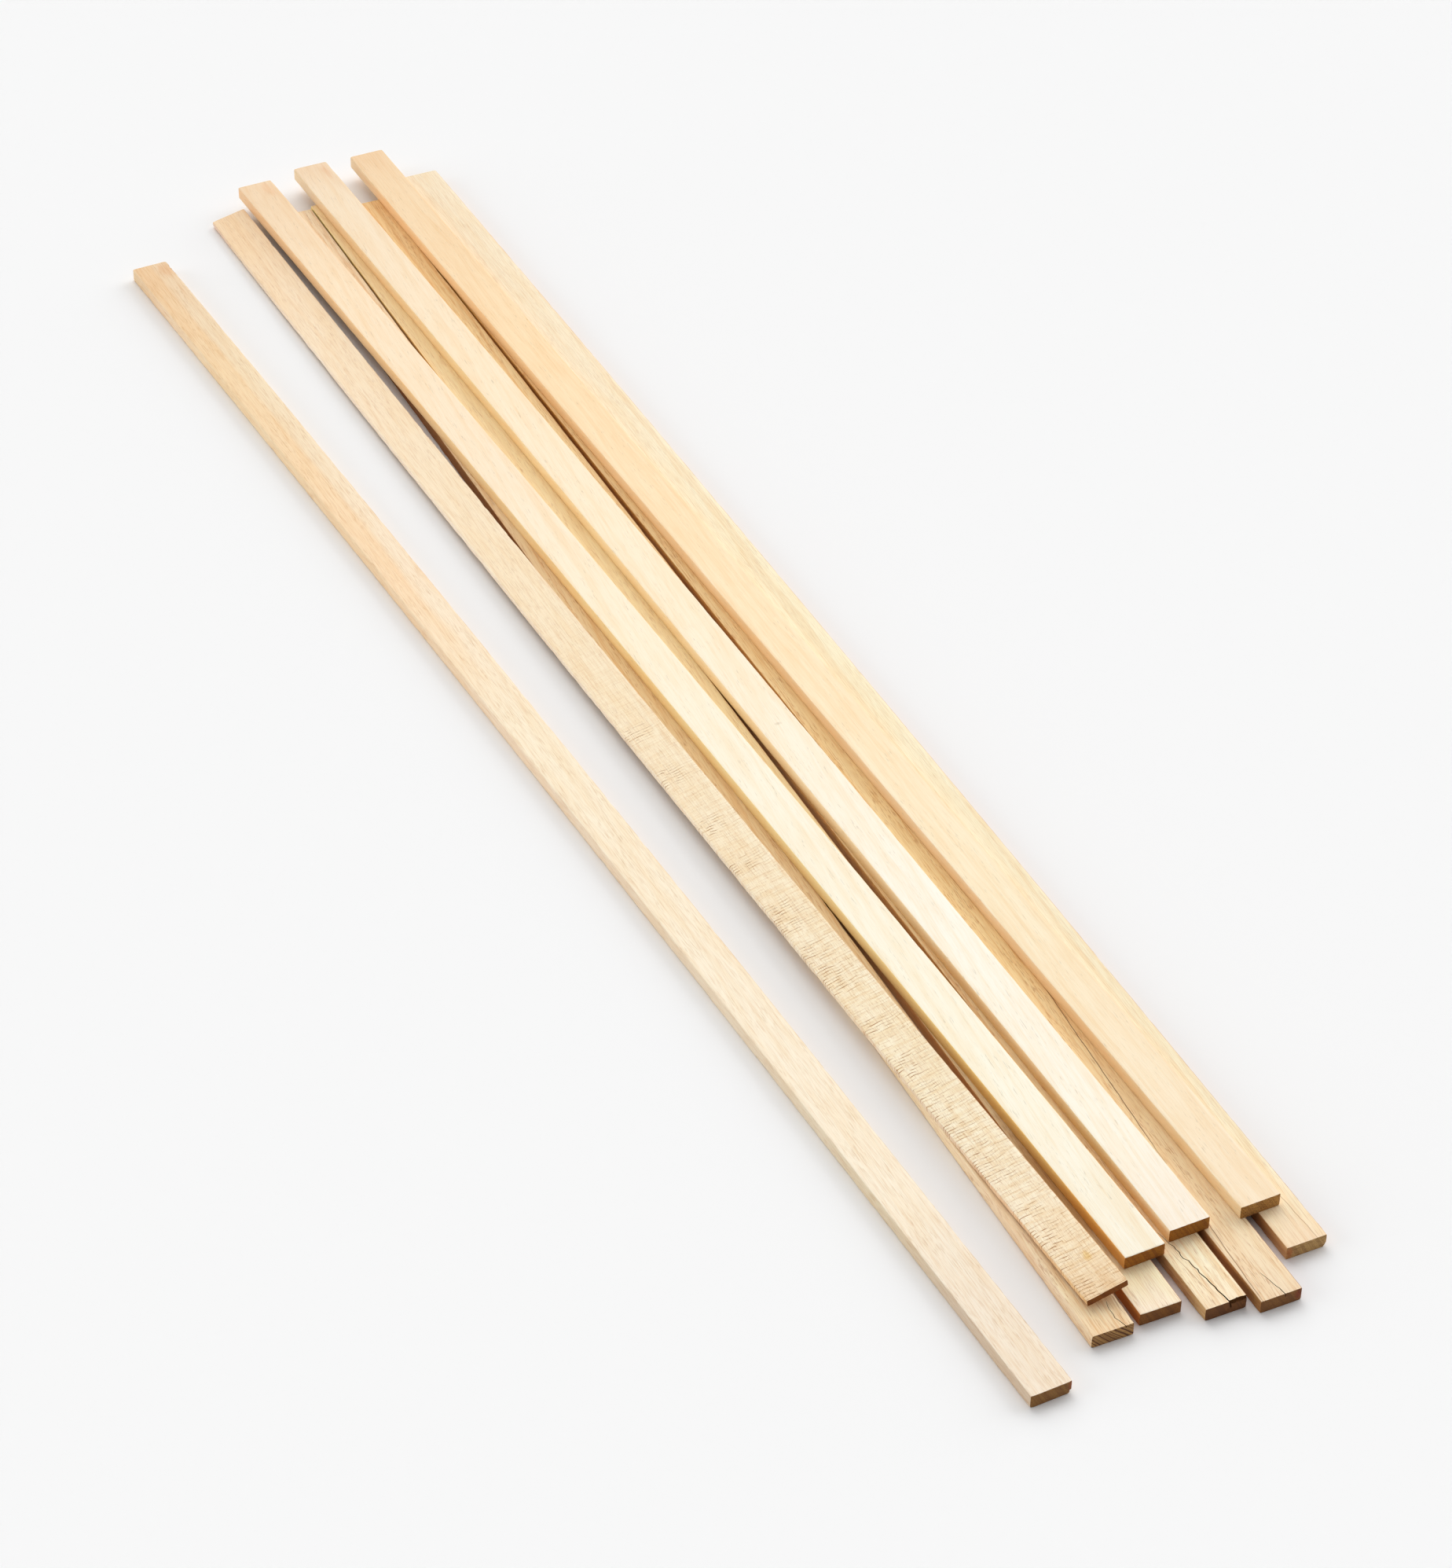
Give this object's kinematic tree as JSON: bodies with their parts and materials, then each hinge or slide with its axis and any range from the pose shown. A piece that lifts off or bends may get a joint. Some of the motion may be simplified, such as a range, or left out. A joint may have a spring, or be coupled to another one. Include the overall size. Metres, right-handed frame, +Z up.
{
  "type": "hardwood strip pile",
  "caption": "Long thin square-edged hardwood strips stacked in two loose layers, with one leaning off the pile and one lying alone.",
  "frame": {"origin": "on the floor, under the middle of the whole group's box", "axes": "+X along the middle bottom strip from its near end to its far end, +Y to the left, +Z up"},
  "size_m": [0.9656, 0.1944, 0.0143],
  "materials": {
    "bottom_strip_1_wood": "sawn and lightly planed, unfinished",
    "bottom_strip_2_wood": "sawn and lightly planed, unfinished",
    "bottom_strip_3_wood": "sawn and lightly planed, unfinished",
    "bottom_strip_4_wood": "sawn and lightly planed, unfinished",
    "bottom_strip_5_wood": "sawn and lightly planed, unfinished",
    "top_strip_1_wood": "sawn and lightly planed, unfinished",
    "top_strip_2_wood": "sawn and lightly planed, unfinished",
    "top_strip_3_wood": "sawn and lightly planed, unfinished",
    "leaning_strip_wood": "sawn and lightly planed, unfinished",
    "lone_strip_wood": "sawn and lightly planed, unfinished"
  },
  "bodies": {
    "bottom_strip_1": {"bottom_strip_1": "bottom_strip_1_wood"},
    "bottom_strip_2": {"bottom_strip_2": "bottom_strip_2_wood"},
    "bottom_strip_3": {"bottom_strip_3": "bottom_strip_3_wood"},
    "bottom_strip_4": {"bottom_strip_4": "bottom_strip_4_wood"},
    "bottom_strip_5": {"bottom_strip_5": "bottom_strip_5_wood"},
    "top_strip_1": {"top_strip_1": "top_strip_1_wood"},
    "top_strip_2": {"top_strip_2": "top_strip_2_wood"},
    "top_strip_3": {"top_strip_3": "top_strip_3_wood"},
    "leaning_strip": {"leaning_strip": "leaning_strip_wood"},
    "lone_strip": {"lone_strip": "lone_strip_wood"}
  },
  "joints": [
    {"name": "top_strip_1_lift", "type": "slide", "parent": "bottom_strip_3", "child": "top_strip_1", "axis": [0, 0, 1], "range_m": [0, 0.08]},
    {"name": "top_strip_2_lift", "type": "slide", "parent": "bottom_strip_3", "child": "top_strip_2", "axis": [0, 0, 1], "range_m": [0, 0.08]},
    {"name": "top_strip_3_lift", "type": "slide", "parent": "bottom_strip_3", "child": "top_strip_3", "axis": [0, 0, 1], "range_m": [0, 0.08]},
    {"name": "leaning_strip_lift", "type": "slide", "parent": "bottom_strip_3", "child": "leaning_strip", "axis": [0, 0, 1], "range_m": [0, 0.08]},
    {"name": "lone_strip_lift", "type": "slide", "parent": "bottom_strip_3", "child": "lone_strip", "axis": [0, 0, 1], "range_m": [0, 0.08]},
    {"name": "bottom_strip_1_draw", "type": "slide", "parent": "bottom_strip_3", "child": "bottom_strip_1", "axis": [-0.9999, 0.0102, 0], "range_m": [0, 0.96]},
    {"name": "bottom_strip_2_draw", "type": "slide", "parent": "bottom_strip_3", "child": "bottom_strip_2", "axis": [-1, 0.0063, 0], "range_m": [0, 0.96]},
    {"name": "bottom_strip_4_draw", "type": "slide", "parent": "bottom_strip_3", "child": "bottom_strip_4", "axis": [-1, -0.0033, 0], "range_m": [0, 0.96]},
    {"name": "bottom_strip_5_draw", "type": "slide", "parent": "bottom_strip_3", "child": "bottom_strip_5", "axis": [-1, -0.0096, 0], "range_m": [0, 0.96]}
  ]
}
